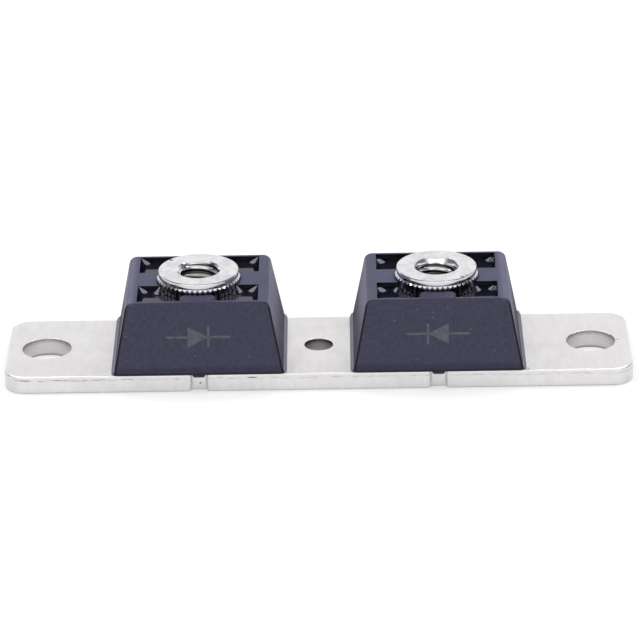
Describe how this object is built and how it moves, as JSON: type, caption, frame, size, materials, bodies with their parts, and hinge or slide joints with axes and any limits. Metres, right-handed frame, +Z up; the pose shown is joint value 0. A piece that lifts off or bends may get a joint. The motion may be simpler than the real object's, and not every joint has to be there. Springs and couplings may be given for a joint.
{
  "type": "ultrafast diode module",
  "caption": "Ultrafast power diode module: plated base plate with mounting holes, carrying tapered moulded towers that each hold a knurled, threaded screw terminal.",
  "frame": {"origin": "middle of the base plate's underside", "axes": "+X along the plate from the left to the right tower, +Z up out of the terminals"},
  "size_m": [0.0914, 0.0206, 0.015],
  "materials": {
    "plate_nickel": "satin nickel plating with a fine grain",
    "terminal_nickel": "bright nickel plating",
    "housing_plastic": "moulded, fine matt grain",
    "potting_epoxy": "cast, glossy",
    "strap_copper": "bare copper strip",
    "molybdenum": "rolled, dull grey",
    "silicon": "metallised silicon",
    "solder": "dull solder"
  },
  "bodies": {
    "root": {"base_plate": "plate_nickel", "housing_left": "housing_plastic", "terminal_left": "terminal_nickel", "potting_left": "potting_epoxy", "strap_left": "strap_copper", "base_solder_left": "solder", "lower_buffer_left": "molybdenum", "chip_solder_left": "solder", "chip_left": "silicon", "top_solder_left": "solder", "upper_buffer_left": "molybdenum", "strap_solder_left": "solder", "housing_right": "housing_plastic", "terminal_right": "terminal_nickel", "potting_right": "potting_epoxy", "strap_right": "strap_copper", "base_solder_right": "solder", "lower_buffer_right": "molybdenum", "chip_solder_right": "solder", "chip_right": "silicon", "top_solder_right": "solder", "upper_buffer_right": "molybdenum", "strap_solder_right": "solder"}
  },
  "joints": []
}
